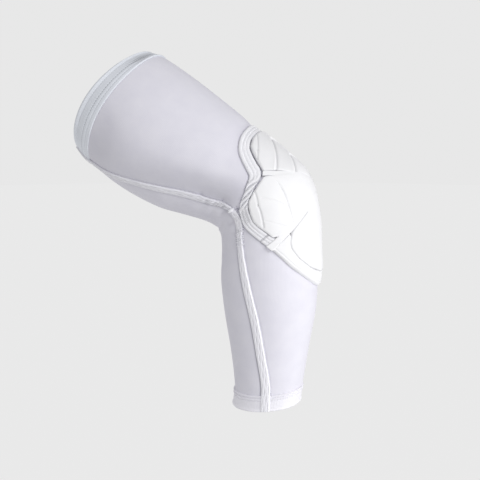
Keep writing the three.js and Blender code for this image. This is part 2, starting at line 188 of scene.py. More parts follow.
# The lower cell is also pressed in along its own edge, with painted shade, apart from the middle of its
# side on the bar.
PRESSED_EDGE = {"depth": 0.25, "gap": 0.34}
PRESSED_LINE = [row[:2] for row in MIDDLE_CELLS["pad_lower"][2:]]
CREASES["pad_lower"] = [
    (start, end, PRESSED_EDGE["depth"], PRESSED_EDGE["gap"])
    for start, end in zip(PRESSED_LINE, PRESSED_LINE[1:])
]
CREASE_HALF_WIDTH = 0.75
# Creases show only above this share of a cell's rise.
CREASED_FROM = 0.8

# Cells with painted shade over all their cover, as a share of the darkest painted shade.
CELL_PAINTED_SHADES = {"pad_upper": 0.05, "pad_rib": 0.06}

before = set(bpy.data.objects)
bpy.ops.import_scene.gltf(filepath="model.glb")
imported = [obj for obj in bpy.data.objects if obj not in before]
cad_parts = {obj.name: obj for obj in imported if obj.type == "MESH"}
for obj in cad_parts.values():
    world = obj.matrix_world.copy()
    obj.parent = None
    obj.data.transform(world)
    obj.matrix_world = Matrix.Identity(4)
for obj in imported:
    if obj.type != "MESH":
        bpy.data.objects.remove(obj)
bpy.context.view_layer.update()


# The sleeve's surface

def section_stations():
    """Distance of each section down the outer side from the upper edge."""
    lean = np.radians(SECTIONS["lean"])
    outer_x = SECTIONS["x"] + SECTIONS["width"] * np.cos(lean)
    outer_z = SECTIONS["z"] + SECTIONS["width"] * np.sin(lean)
    return np.concatenate([[0.0], np.cumsum(np.hypot(np.diff(outer_x), np.diff(outer_z)))])


STATIONS = section_stations()
LENGTH = STATIONS[-1]


def cubic(start, end, slope_from, slope_to, t):
    """A cubic curve from start to end with the given slopes, at shares t of its way."""
    lift = 3 * (end - start) - 2 * slope_from - slope_to
    bend = 2 * (start - end) + slope_from + slope_to
    return start + t * (slope_from + t * (lift + t * bend))


def size_at(column, along):
    """A column of the section table at distances along the arm, on a smooth curve through its rows."""
    values = SECTIONS[column]
    last = len(values) - 1
    i = np.clip(np.searchsorted(STATIONS, along) - 1, 0, last - 1)
    before = np.maximum(i - 1, 0)
    after = np.minimum(i + 2, last)
    span = STATIONS[i + 1] - STATIONS[i]
    t = (along - STATIONS[i]) / span
    slope_from = (values[i + 1] - values[before]) / (STATIONS[i + 1] - STATIONS[before]) * span
    slope_to = (values[after] - values[i]) / (STATIONS[after] - STATIONS[i]) * span
    return cubic(values[i], values[i + 1], slope_from, slope_to, t)


def around_of(turn):
    """The angle from the outer side, the same on the near and the far side."""
    return np.abs(np.where(turn > 180, turn - 360, turn))


def sunk_by(hollows, along, turn):
    """How far a table of soft hollows sinks the cloth at a point."""
    around = around_of(turn)
    depth = np.zeros(np.broadcast(along, around).shape)
    for middle, hollow_turn, half_length, half_width, deepest in hollows:
        a = (along - middle) / half_length
        b = (around - hollow_turn) / half_width
        depth += deepest * np.exp(-a * a - b * b)
    return depth


def fold_depth(along, turn):
    return sunk_by(FOLDS, along, turn) + sunk_by(PUCKERS, along, turn)


def on_cloth(along, turn):
    """Points of the cloth's middle surface, in millimetres."""
    lean = np.radians(size_at("lean", along))
    outward = size_at("width", along) * np.cos(np.radians(turn))
    sideways = size_at("depth", along) * np.sin(np.radians(turn))
    reach = np.hypot(outward, sideways)
    shrink = 1 - fold_depth(along, turn) / reach
    x = size_at("x", along) + outward * shrink * np.cos(lean)
    y = -sideways * shrink
    z = size_at("z", along) + outward * shrink * np.sin(lean)
    return np.stack(np.broadcast_arrays(x, y, z), axis=-1)


def normal_of(along, turn):
    """The cloth's outward direction."""
    step = 0.2
    down = on_cloth(along + step, turn) - on_cloth(along - step, turn)
    around = on_cloth(along, turn + step) - on_cloth(along, turn - step)
    normal = np.cross(around, down)
    return normal / np.linalg.norm(normal, axis=-1, keepdims=True)


def above(along, turn, lift):
    """Points lifted off the cloth along its outward direction."""
    along, turn, lift = np.broadcast_arrays(along, turn, lift)
    return on_cloth(along, turn) + normal_of(along, turn) * lift[..., None]


def above_pad(flat, lift):
    """The same for points of the flat pad layout: distance along and distance round, in millimetres."""
    return above(flat[..., 0], np.degrees(flat[..., 1] / PAD_RADIUS), lift)


def flat_of(rows):
    """Rows of along and turn on the flat pad layout, with any further columns kept."""
    table = np.array(rows, dtype=float)
    table[:, 1] = np.radians(table[:, 1]) * PAD_RADIUS
    return table


def mirrored(rows):
    return [(row[0], -row[1], *row[2:]) for row in rows]


def seam_turn(along):
    return size_at("seam", along)


def seam_width(along):
    return np.interp(along, SEAM_WIDTHS[:, 0], SEAM_WIDTHS[:, 1])


# Smooth lines on the flat layout

def smooth_line(points, steps_each=24):
    """Even steps along a centripetal curve through the points."""
    ends = np.vstack([2 * points[0] - points[1], points, 2 * points[-1] - points[-2]])
    gaps = np.sqrt(np.linalg.norm(np.diff(ends, axis=0), axis=1))[:, None]
    t = np.linspace(0, 1, steps_each, endpoint=False)[:, None]
    pieces = []
    for i in range(len(points) - 1):
        p0, p1, p2, p3 = ends[i:i + 4]
        g0, g1, g2 = gaps[i:i + 3]
        slope_from = ((p1 - p0) / g0 - (p2 - p0) / (g0 + g1) + (p2 - p1) / g1) * g1
        slope_to = ((p2 - p1) / g1 - (p3 - p1) / (g1 + g2) + (p3 - p2) / g2) * g1
        pieces.append(cubic(p1, p2, slope_from, slope_to, t))
    pieces.append(points[-1:])
    return np.vstack(pieces)


def resampled(line, step):
    """The line with points at even distances, and each point's distance from its start."""
    run = np.concatenate([[0.0], np.cumsum(np.linalg.norm(np.diff(line[:, :2], axis=0), axis=1))])
    count = max(2, int(round(run[-1] / step)) + 1)
    even = np.linspace(0, run[-1], count)
    return np.stack([np.interp(even, run, column) for column in line.T], axis=1), even


def line_across(rows, step):
    """A smooth line through the near rows, the outer side and their mirror images."""
    points = flat_of(list(rows) + mirrored(rows[:-1])[::-1])
    return resampled(smooth_line(points), step)


def left_of(line):
    """Unit directions to the left of a flat line's run."""
    run = np.gradient(line[:, :2], axis=0)
    run /= np.linalg.norm(run, axis=1, keepdims=True)
    return np.stack([-run[:, 1], run[:, 0]], axis=1)


def distance_to_segment(flat, start, end):
    along = end - start
    t = np.clip(((flat - start) @ along) / (along @ along), 0, 1)
    return np.linalg.norm(flat - start - t[..., None] * along, axis=-1)


# Mesh building

class Piece:
    """Points, faces, weave places and material numbers of one piece while it is made."""

    def __init__(self):
        self.points = []
        self.faces = []
        self.weave = []
        self.numbers = []
        self.count = 0

    def add(self, points, faces, weave, number=0):
        self.points.append(points)
        self.weave.append(weave)
        self.faces += [tuple(int(v) + self.count for v in face) for face in faces]
        self.numbers += [number] * len(faces)
        self.count += len(points)

    def build(self, name, materials):
        mesh = bpy.data.meshes.new(name)
        mesh.from_pydata((np.vstack(self.points) * MM).tolist(), [], self.faces)
        # The weave attribute holds places on the cloth and, third, the painted shade.
        weave = mesh.attributes.new("weave", "FLOAT_VECTOR", "POINT")
        weave.data.foreach_set("vector", np.vstack(self.weave).astype(np.float32).ravel())
        for material in materials:
            mesh.materials.append(material)
        mesh.polygons.foreach_set("material_index", self.numbers)
        mesh.polygons.foreach_set("use_smooth", [True] * len(mesh.polygons))
        mesh.update()
        piece = bpy.data.objects.new(name, mesh)
        bpy.context.scene.collection.objects.link(piece)
        return piece


def quads_of(index):
    """Quads over a grid of point numbers."""
    corners = [index[:-1, :-1], index[:-1, 1:], index[1:, 1:], index[1:, :-1]]
    return np.stack(corners, axis=-1).reshape(-1, 4)


def volume_of(points, faces):
    quads = points[faces]
    first = np.cross(quads[:, 1], quads[:, 2])
    second = np.cross(quads[:, 2], quads[:, 3])
    return np.sum(quads[:, 0] * (first + second))


def marks(count, every):
    """Every so many of the numbers below a count, and the last of them."""
    return np.append(np.arange(0, count - 1, every), count - 1)


def wall(upper, lower, kept):
    """Faces from an upper edge down to a lower edge that keeps only some of its points."""
    ends = zip(kept, kept[1:], lower, lower[1:])
    return [(*upper[first:last + 1], low_last, low_first) for first, last, low_first, low_last in ends]


def slab(piece, top, under, weave, looped=False, under_every=3):
    """A closed slab between two grids of points. Its underside keeps every third row and column, or as
    many as under_every says. A looped slab joins its last row to its first."""
    upper = np.arange(weave[..., 0].size).reshape(weave.shape[:2])
    if looped:
        upper = np.vstack([upper, upper[:1]])
    row_marks = marks(upper.shape[0], under_every)
    column_marks = marks(upper.shape[1], under_every)
    kept = np.ix_(row_marks[:-1] if looped else row_marks, column_marks)
    lower = np.arange(under[kept][..., 0].size).reshape(under[kept].shape[:2]) + weave[..., 0].size
    if looped:
        lower = np.vstack([lower, lower[:1]])
    faces = [tuple(face) for face in quads_of(upper)]
    faces += [tuple(face[::-1]) for face in quads_of(lower)]
    faces += wall(upper[:, 0], lower[:, 0], row_marks)
    faces += [face[::-1] for face in wall(upper[:, -1], lower[:, -1], row_marks)]
    if not looped:
        faces += [face[::-1] for face in wall(upper[0], lower[0], column_marks)]
        faces += wall(upper[-1], lower[-1], column_marks)
    facing = np.cross(top[1:, 1:] - top[:-1, :-1], top[1:, :-1] - top[:-1, 1:])
    if np.sum(facing * (top - under)[:-1, :-1]) < 0:
        faces = [face[::-1] for face in faces]
    points = np.vstack([top.reshape(-1, 3), under[kept].reshape(-1, 3)])
    places = np.vstack([weave.reshape(-1, 3), weave[kept].reshape(-1, 3)])
    piece.add(points, faces, places)


def weave_places(across, along, gap=0.0):
    """Places on the cloth in millimetres, and the painted shade there: up to 1 for the darkest painted
    shade, and below 0 for a painted highlight."""
    across, along, gap = np.broadcast_arrays(across, along, gap)
    return np.stack([across, along, gap], axis=-1)


def closed_rings(piece, rings, weave, number=0):
    """A closed skin over a stack of rings of points, with a cap at both ends."""
    grid = np.arange(rings[..., 0].size).reshape(rings.shape[:2])
    quads = quads_of(np.hstack([grid, grid[:, :1]]))
    caps = [tuple(grid[0][::-1]), tuple(grid[-1])]
    points = rings.reshape(-1, 3)
    if volume_of(points, quads) < 0:
        quads = quads[:, ::-1]
        caps = [cap[::-1] for cap in caps]
    piece.add(points, [tuple(face) for face in quads] + caps, weave.reshape(-1, 3), number)


def stitches(piece, start, end, out, radius, number):
    """Thread stitches as slim rounded dashes from start to end."""
    sides = 6
    shares = np.array([0.0, 0.12, 0.5, 0.88, 1.0])
    swell = np.array([0.25, 0.8, 1.0, 0.8, 0.25])
    axis = end - start
    across = np.cross(axis, out)
    across /= np.linalg.norm(across, axis=1, keepdims=True)
    angles = np.arange(sides) * math.tau / sides
    middle = start[:, None, None] + axis[:, None, None] * shares[None, :, None, None]
    circle_across = across[:, None, None] * np.cos(angles)[None, None, :, None]
    circle_out = out[:, None, None] * np.sin(angles)[None, None, :, None]
    points = middle + (circle_across + circle_out) * (radius * swell)[None, :, None, None]
    for rings in points:
        closed_rings(piece, rings, np.zeros_like(rings), number)


def cord(offset, half_width):
    """Rounded ridge across a band: 1 on its middle line, 0 outside it."""
    return np.sqrt(np.clip(1 - (offset / half_width) ** 2, 0, 1))


def bell(offset, half_width):
    """Soft ridge: 1 on its middle line, fading to both sides."""
    return np.exp(-((offset / half_width) ** 2))


def smooth_step(value, low, high):
    t = np.clip((value - low) / (high - low), 0, 1)
    return t * t * (3 - 2 * t)


def blend(first, second, share):
    """From the first value at a share of 0 to the second at 1."""
    return first + (second - first) * share


def crowded(count, crowding):
    """Shares from 0 to 1 that lie closer together towards both ends."""
    even = np.linspace(0, 1, count)
    return even - crowding * np.sin(math.tau * even) / math.tau


# Materials

# How a knit's loops slant over a wale, and the swing and mean of their height.
LOOP_SLANT = 1.2
LOOP_SWING = 0.3
LOOP_MEAN = 0.5
WEAVE_RANGE = (0.5, 1.0)
# Shares of the weave and of soft patches in a cloth's colour, and the patches' size and detail.
WEAVE_SHARE = 0.35
PATCH_SHARE = 0.75
PATCH_SIZE = 14.0
PATCH_DETAIL = 3.0
# Colour of the darkest painted shade, as a share of the dark yarn's.
DEEPEST_PAINTED_SHADE = 0.35
ROUGHNESS_SPREAD = 0.06
SHEEN_ROUGHNESS = 0.5
SPECULAR = 0.25
BUMP_STRENGTH = 0.6
FUZZ = {"size_mm": 0.35, "detail": 4.0}
COVER_PITCH = 0.7
COVER_PATCHES = {"size_mm": 5.0, "detail": 2.0}
COVER_MIX = 0.5


def link(tree, value, socket):
    """Feeds a socket from a node's output, or sets its number."""
    if isinstance(value, bpy.types.NodeSocket):
        tree.links.new(value, socket)
    else:
        socket.default_value = value


def calc(tree, operation, *values):
    """The outcome of a math node fed with outputs or numbers."""
    node = tree.nodes.new("ShaderNodeMath")
    node.operation = operation
    for value, socket in zip(values, node.inputs):
        link(tree, value, socket)
    return node.outputs[0]


def weave_axes(tree):
    """Millimetres across and along the cloth, and the painted shade."""
    attribute = tree.nodes.new("ShaderNodeAttribute")
    attribute.attribute_name = "weave"
    axes = tree.nodes.new("ShaderNodeSeparateXYZ")
    tree.links.new(attribute.outputs["Vector"], axes.inputs[0])
    return axes.outputs


def noise(tree, size_mm, detail):
    """Soft noise with features of about the given size."""
    place = tree.nodes.new("ShaderNodeTexCoord")
    texture = tree.nodes.new("ShaderNodeTexNoise")
    texture.inputs["Scale"].default_value = 1 / (size_mm * MM)
    texture.inputs["Detail"].default_value = detail
    tree.links.new(place.outputs["Object"], texture.inputs["Vector"])
    return texture.outputs["Fac"]


def ramp(tree, share, dark, light):
    """Colour from dark yarn at 0 to light yarn at 1."""
    node = tree.nodes.new("ShaderNodeValToRGB")
    stops = node.color_ramp.elements
    stops[0].color = (*dark, 1)
    stops[1].color = (*light, 1)
    link(tree, share, node.inputs["Fac"])
    return node.outputs["Color"]


def mixed(tree, share, first, second):
    """The first colour, faded to a fixed second one by a share from 0 to 1."""
    node = tree.nodes.new("ShaderNodeMix")
    node.data_type = "RGBA"
    factor, first_socket, second_socket = [s for s in node.inputs if s.enabled]
    link(tree, share, factor)
    link(tree, first, first_socket)
    second_socket.default_value = (*second, 1)
    return [s for s in node.outputs if s.enabled][0]


def span(tree, value, low, high):
    """Takes a value between 0 and 1 to a range."""
    node = tree.nodes.new("ShaderNodeMapRange")
    node.inputs["To Min"].default_value = low
    node.inputs["To Max"].default_value = high
    link(tree, value, node.inputs["Value"])
    return node.outputs["Result"]


def bump(tree, height, depth_mm, strength):
    node = tree.nodes.new("ShaderNodeBump")
    node.inputs["Strength"].default_value = strength
    node.inputs["Distance"].default_value = depth_mm * MM
    link(tree, height, node.inputs["Height"])
    return node.outputs["Normal"]


def knit_height(tree, wale_mm, course_mm):
    """Columns of V-shaped loops: wales side by side, courses along them."""
    across, along, _ = weave_axes(tree)
    side = calc(tree, "PINGPONG", calc(tree, "DIVIDE", across, wale_mm), 0.5)
    column = calc(tree, "SUBTRACT", 1.0, calc(tree, "POWER", calc(tree, "MULTIPLY", side, 2.0), 2.0))
    slanted = calc(tree, "MULTIPLY", side, LOOP_SLANT)
    phase = calc(tree, "ADD", calc(tree, "DIVIDE", along, course_mm), slanted)
    loop = calc(tree, "SINE", calc(tree, "MULTIPLY", phase, math.tau))
    return calc(tree, "MULTIPLY", column, calc(tree, "MULTIPLY_ADD", loop, LOOP_SWING, LOOP_MEAN))


def weave_height(tree, pitch_mm):
    """Plain fine weave: threads over and under each other."""
    across, along, _ = weave_axes(tree)
    turn = math.tau / pitch_mm
    warp = calc(tree, "SINE", calc(tree, "MULTIPLY", across, turn))
    weft = calc(tree, "SINE", calc(tree, "MULTIPLY", along, turn))
    return span(tree, calc(tree, "MULTIPLY", warp, weft), *WEAVE_RANGE)


def cloth_material(name, dark, light, height_of, depth_mm, sheen, roughness, patch_mm=PATCH_SIZE):
    """Cloth whose colour and gloss vary with its weave and with soft patches."""
    material = bpy.data.materials.new(name)
    material.use_nodes = True
    tree = material.node_tree
    shader = tree.nodes["Principled BSDF"]
    height = height_of(tree)
    patches = noise(tree, patch_mm, PATCH_DETAIL)
    woven = calc(tree, "MULTIPLY", height, WEAVE_SHARE)
    share = calc(tree, "ADD", woven, calc(tree, "MULTIPLY", patches, PATCH_SHARE))
    # Painted shade: the yarn colour fades to the darkest painted shade, and below 0 it is a painted
    # highlight that brightens the yarn.
    gap = weave_axes(tree)[2]
    yarn = ramp(tree, calc(tree, "SUBTRACT", share, gap), dark, light)
    deepest_shade = [DEEPEST_PAINTED_SHADE * part for part in dark]
    link(tree, mixed(tree, gap, yarn, deepest_shade), shader.inputs["Base Color"])
    gloss = span(tree, patches, roughness - ROUGHNESS_SPREAD, roughness + ROUGHNESS_SPREAD)
    link(tree, gloss, shader.inputs["Roughness"])
    shader.inputs["Sheen Weight"].default_value = sheen
    shader.inputs["Sheen Roughness"].default_value = SHEEN_ROUGHNESS
    shader.inputs["Specular IOR Level"].default_value = SPECULAR
    link(tree, bump(tree, height, depth_mm, BUMP_STRENGTH), shader.inputs["Normal"])
    return material


def fuzz_height(tree):
    """Twisted fibres of a sewing thread."""
    return noise(tree, **FUZZ)


def cover_height(tree):
    """Smooth laminated cover: a very fine weave over soft foam."""
    weave = calc(tree, "MULTIPLY", weave_height(tree, COVER_PITCH), COVER_MIX)
    return calc(tree, "ADD", weave, calc(tree, "MULTIPLY", noise(tree, **COVER_PATCHES), COVER_MIX))


KNIT = cloth_material(
    "knit", dark=(0.70, 0.69, 0.775), light=(0.81, 0.80, 0.862),
    height_of=lambda tree: knit_height(tree, wale_mm=1.1, course_mm=0.8),
    depth_mm=0.12, sheen=0.15, roughness=0.8)
TAPE = cloth_material(
    "seam_tape", dark=(0.79, 0.785, 0.85), light=(0.97, 0.965, 1.0),
    height_of=lambda tree: knit_height(tree, wale_mm=0.9, course_mm=1.2),
    depth_mm=0.15, sheen=0.1, roughness=0.75)
BAND = cloth_material(
    "hem_band", dark=(0.675, 0.70, 0.76), light=(0.855, 0.885, 0.95),
    height_of=lambda tree: weave_height(tree, pitch_mm=0.9),
    depth_mm=0.15, sheen=0.1, roughness=0.8)
CUFF = cloth_material(
    "cuff", dark=(0.79, 0.78, 0.84), light=(0.90, 0.89, 0.95),
    height_of=lambda tree: knit_height(tree, wale_mm=1.1, course_mm=0.8),
    depth_mm=0.12, sheen=0.1, roughness=0.8)
EDGING = cloth_material(
    "pad_edging", dark=(0.82, 0.82, 0.87), light=(0.95, 0.945, 0.97),
    height_of=lambda tree: knit_height(tree, wale_mm=0.9, course_mm=0.9),
    depth_mm=0.12, sheen=0.1, roughness=0.75)
COVER = cloth_material(
    "pad_cover", dark=(0.82, 0.82, 0.845), light=(0.90, 0.90, 0.915),
    height_of=cover_height, depth_mm=0.1, sheen=0.1, roughness=0.65)
THREAD = cloth_material(
    "thread", dark=(0.74, 0.74, 0.80), light=(0.93, 0.93, 0.95),
    height_of=fuzz_height, depth_mm=0.1, sheen=0.1, roughness=0.6, patch_mm=3.0)


def settle(piece, slot, *nodes):
    """Fixes a piece to the body and hides the solids it stands for. Its finish, slot, is not used."""
    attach(piece, "root")
    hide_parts(*nodes)
    return piece


# Knit panels

FINE_ALONG = (112.0, 290.0)
FINE_STEP = 0.95
COARSE_STEP = 1.9
HEM_LAP = 1.5
# How fast the bow of the upper hem fades down the panels.
BOW_FADE = 3
PULL_DEPTH = 0.5
PULL_HALF_WIDTH = 0.6
SEAM_PULL_DEPTH = 0.5
SEAM_PULL_HALF_WIDTH = 0.9
# Stitches pull deepest this far outside a sewn edge.
PULL_OFFSET = 0.3
# Steps along the pad's sewn edge, and how far along from a step the cloth is compared with it.
PAD_EDGE_STEP = 3.0
PAD_EDGE_REACH = 8.0
# Painted shade beside the stitched border and beside the lower band, and where one passes to the other.
PAD_PAINTED_SHADES = (0.3, 0.03)
BORDER_END = (230.0, 240.0)
# Where the upper arm passes to the forearm.
FOREARM = (212.0, 245.0)
# Painted shade in the seam's puckers, for each millimetre of their depth.
PUCKER_PAINTED_SHADE = 0.12
# Turns over which the painted shade comes in at the drag fold's edge.
FOLD_SHADE_FADE = 9.0
# Columns of a panel, how they crowd towards the seams, and the painted shade beside the seams on the upper
# arm and on the forearm.
OUTER_PANEL = {"columns": 250, "crowding": 0.5, "seam_gaps": (0.05, 0.05)}
INNER_PANEL = {"columns": 120, "crowding": 0.85, "seam_gaps": (0.12, 0.55)}


def upper_rim(turn):
    return -RIM_BOW * np.sin(np.radians(turn)) ** 2


def upper_edge(turn):
    """Where the upper hem is sewn to the panels. It is narrower at the outer side."""
    narrower = HEM_NARROWING["width"] * bell(around_of(turn), HEM_NARROWING["half_turn"])
    return upper_rim(turn) + UPPER_HEM_WIDTH - narrower


def panel_rows():
    """Places along a panel, closer together beside the pad, as a column."""
    start = UPPER_HEM_WIDTH - HEM_LAP
    end = LENGTH - LOWER_HEM_WIDTH + HEM_LAP
    return np.concatenate([
        np.arange(start, FINE_ALONG[0], COARSE_STEP),
        np.arange(FINE_ALONG[0], FINE_ALONG[1], FINE_STEP),
        np.arange(FINE_ALONG[1], end, COARSE_STEP),
        [end],
    ])[:, None]


def beside_pad(along, turn):
    """Closeness to the pad's sewn edge, from 0 to 1."""
    flat = np.stack([along, np.radians(turn) * PAD_RADIUS], axis=-1)
    nearest = np.full(along.shape, np.inf)
    first = along.min(axis=1) - PAD_EDGE_REACH
    last = along.max(axis=1) + PAD_EDGE_REACH
    for rows in (BORDER, LOWER_BAND):
        line = line_across(rows, PAD_EDGE_STEP)[0][:, :2]
        for start, end in zip(line[:-1], line[1:]):
            close = (first < start[0]) & (last > start[0])
            nearest[close] = np.minimum(nearest[close], distance_to_segment(flat[close], start, end))
    return bell(nearest - PULL_OFFSET, PULL_HALF_WIDTH)


def beside_seam(along, turn):
    """Closeness to the edge of a side seam, from 0 to 1."""
    from_middle = np.abs(np.radians(around_of(turn) - seam_turn(along)) * size_at("depth", along))
    return bell(from_middle - seam_width(along) / 2 - PULL_OFFSET, SEAM_PULL_HALF_WIDTH)


def fold_shade(along, turn):
    """How much painted shade falls above the seam past the drag fold's edge, from 0 to 1."""
    around = around_of(turn)
    fold_edge = np.interp(along, FOLD_SHADE[:, 0], FOLD_SHADE[:, 1])
    darker = np.interp(along, FOLD_SHADE[:, 0], FOLD_SHADE[:, 2])
    past_fold = smooth_step(around - fold_edge, -FOLD_SHADE_FADE, FOLD_SHADE_FADE)
    return darker * past_fold * (around < seam_turn(along))


def panel(name, turn_from, turn_to, node, columns, crowding, seam_gaps):
    """A knit panel that stitches pull in along the pad and the seams."""
    rows = panel_rows()
    turn = blend(turn_from(rows), turn_to(rows), crowded(columns, crowding)[None, :])
    along = rows + (upper_edge(turn) - UPPER_HEM_WIDTH) * (1 - rows / LENGTH) ** BOW_FADE
    across = np.radians(turn) * size_at("depth", along)
    at_pad = beside_pad(along, turn)
    at_seam = beside_seam(along, turn)
    pull = PULL_DEPTH * at_pad + SEAM_PULL_DEPTH * at_seam
    # Painted shade beside the pad and the seams, in the puckers and past the drag fold.
    pad_gap = blend(*PAD_PAINTED_SHADES, smooth_step(along, *BORDER_END)) * at_pad
    seam_gap = blend(*seam_gaps, smooth_step(along, *FOREARM)) * at_seam
    pucker_shade = PUCKER_PAINTED_SHADE * sunk_by(PUCKERS, along, turn)
    gap = np.maximum.reduce([pad_gap, seam_gap, pucker_shade, fold_shade(along, turn)])
    top = above(along, turn, CLOTH / 2 - pull)
    under = above(along, turn, -CLOTH / 2 - pull)
    piece = Piece()
    slab(piece, top, under, weave_places(across, along, gap), under_every=2)
    made = settle(piece.build(name, [KNIT]), "knit", node)


def far_seam_turn(along):
    return -seam_turn(along)


def far_seam_turn_past(along):
    return 360 - seam_turn(along)


panel("outer_panel_cloth", far_seam_turn, seam_turn, "outer_panel", **OUTER_PANEL)
panel("inner_panel_cloth", seam_turn, far_seam_turn_past, "inner_panel", **INNER_PANEL)


# Side seams

SEAM_STEP = 0.7
SEAM_COLUMNS = 41
# Distance of the seam's ends from the sleeve's edges, and of its underside below its foot.
SEAM_INSET = 0.6
SEAM_UNDER = 0.2
# Where the seam climbs over a hem's sewn edge: how far on the hem's side of it, and on the panels' side.
SEAM_CLIMB = (0.5, 2.5)
# Strands across the seam, from its outer panel's side: place, half width, rise, sway.
SEAM_STRANDS = (
    (-0.8, 0.2, 0.8, 0.02),
    (-0.36, 0.26, 0.55, 0.12),
    (0.08, 0.26, 0.55, 0.14),
    (0.5, 0.24, 0.5, 0.1),
    (0.84, 0.16, 0.45, 0.02),
)
# Pitch of the strands' sway, and the shift from one strand to the next.
STRAND_PITCH = 17.0
STRAND_SHIFT = 2.3
# Fibres twisted round each strand.
FIBRES = {"pitch": 3.6, "slant": 1.5, "shift": 1.7, "swing": 0.12}
# Painted shade between the seam's threads.
SEAM_PAINTED_SHADE = 0.14
# Place across the seam up to which it has a painted highlight on the forearm and less painted shade beside
# the elbow.
EDGE_STRAND = -0.58
EDGE_HIGHLIGHT = 0.6
EDGE_SHADE_SHARE = 0.5
# Painted shade over the seam round the elbow: middle, half length, and how much.
SHADED_SEAM = {"along": 150.0, "half_length": 75.0, "gap": 0.08}
# Where the seam is gathered, with its patches of painted shade, its sway and its lumps.
PUCKERED = {"along": 148.0, "half_length": 30.0, "gap": 0.16}
SHADED_PATCHES = {"pitches": (5.5, 9.1), "slant": 1.5, "swing": 0.5}
SWAY = {"reach": 0.8, "run": 5.5}
LUMPS = {"rise": 0.6, "run": 2.1, "shift": 0.8}
CROSS_STITCHES = (203.0, 206.5, 212.0, 215.0, 218.0, 224.0)
CROSS_REACH = 1.8
CROSS_SLANT = 0.6
CROSS_RADIUS = 0.42
# A cross thread's bow: place over the seam from -1 to 1, rise above the cloth.
CROSS_BOW = ((-1.0, 0.1), (-0.7, 1.5), (0.0, 2.1), (0.7, 1.5), (1.0, 0.1))


def seam_lift(along):
    """Height of the seam's foot: it climbs over the hem at both ends."""
    sewn_above = upper_edge(seam_turn(0.0))
    sewn_below = LENGTH - LOWER_HEM_WIDTH
    over_upper = 1 - smooth_step(along, sewn_above - SEAM_CLIMB[0], sewn_above + SEAM_CLIMB[1])
    over_lower = smooth_step(along, sewn_below - SEAM_CLIMB[1], sewn_below + SEAM_CLIMB[0])
    climb = (HEM - CLOTH) / 2
    return CLOTH / 2 - SEAM_SINK + climb * np.maximum(over_upper, over_lower)


def seam_threads(along, share):
    """How far twisted threads cover a seam, from 0 to 1, and their rise."""
    covered = np.zeros(np.broadcast(along, share).shape)
    risen = np.zeros(covered.shape)
    for k, (place, half_width, rise, sway) in enumerate(SEAM_STRANDS):
        twist = sway * np.sin(math.tau * along / STRAND_PITCH + STRAND_SHIFT * k)
        thread = cord(share - place - twist, half_width)
        phase = math.tau * (along / FIBRES["pitch"] + FIBRES["slant"] * share) + FIBRES["shift"] * k
        fibre = 1 - FIBRES["swing"] + FIBRES["swing"] * np.sin(phase)
        covered = np.maximum(covered, thread)
        risen = np.maximum(risen, rise * thread * fibre)
    return covered, risen


def seam_shade(along, share, covered, puckered):
    """Painted shade on a seam: between threads and in patches, and below 0 a painted highlight on its edge
    strand.
    """
    gap = SEAM_PAINTED_SHADE * (1 - covered) ** 2
    shaded = SHADED_SEAM["gap"] * bell(along - SHADED_SEAM["along"], SHADED_SEAM["half_length"])
    waves = sum(np.sin(math.tau * along / pitch + SHADED_PATCHES["slant"] * share) for pitch in SHADED_PATCHES["pitches"])
    shaded = shaded + PUCKERED["gap"] * (1 + SHADED_PATCHES["swing"] * waves) * puckered
    highlight = EDGE_HIGHLIGHT * covered * smooth_step(along, *FOREARM)
    return np.where(share < EDGE_STRAND, gap - highlight + EDGE_SHADE_SHARE * shaded, gap + shaded)


def side_seam(name, hand, node):
    """A raised flat seam of twisted threads, lumpy where it is gathered beside the inner elbow."""
    along = np.arange(SEAM_INSET, LENGTH - SEAM_INSET, SEAM_STEP)[:, None]
    share = np.linspace(-1, 1, SEAM_COLUMNS)[None, :]
    puckered = bell(along - PUCKERED["along"], PUCKERED["half_length"])
    across = share * seam_width(along) / 2 + SWAY["reach"] * puckered * np.sin(along / SWAY["run"])
    turn = seam_turn(along) + np.degrees(across / size_at("depth", along))
    body = SEAM_RISE * np.clip(1 - share ** 4, 0, 1) ** 0.5
    covered, strands = seam_threads(along, share)
    gap = seam_shade(along, share, covered, puckered)
    waves = 1 + np.sin(along / LUMPS["run"] + LUMPS["shift"])
    lumps = LUMPS["rise"] * puckered * waves * np.clip(1 - share ** 2, 0, 1)
    lift = seam_lift(along)
    top = above(along, hand * turn, lift + SEAM_SINK + body + strands + lumps)
    under = above(along, hand * turn, lift - SEAM_UNDER)
    piece = Piece()
    slab(piece, top, under, weave_places(across, along, gap))
    cross_stitches(piece, hand)
    tack(piece, hand)
    settle(piece.build(name, [TAPE, THREAD]), "seam_tape", node)


def cross_stitches(piece, hand):
    """Single threads drawn over the seam below the elbow and into the cloth on both sides."""
    along = np.array(CROSS_STITCHES)
    middle = seam_turn(along)
    half = np.degrees((seam_width(along) / 2 + CROSS_REACH) / size_at("depth", along))
    out = normal_of(along, hand * middle)
    places = []
    for side, rise in CROSS_BOW:
        turn = hand * (middle + side * half)
        places.append(above(along + CROSS_SLANT * side, turn, CLOTH / 2 + rise))
    for start, end in zip(places, places[1:]):
        stitches(piece, start, end, out, CROSS_RADIUS, 1)


# The knot of thread where the seam meets the pad's border
TACK_ALONG = 169.0
TACK_TURN = 107.5
TACK_RADIUS = 3.0
TACK_RISE = 4.8
TACK_RINGS = 10
TACK_SIDES = 24
# Share of the knot's radius at its innermost ring.
TACK_MIDDLE = 0.06
TACK_RIDGES = {"count": 5, "twist": 6.0, "swing": 0.12}


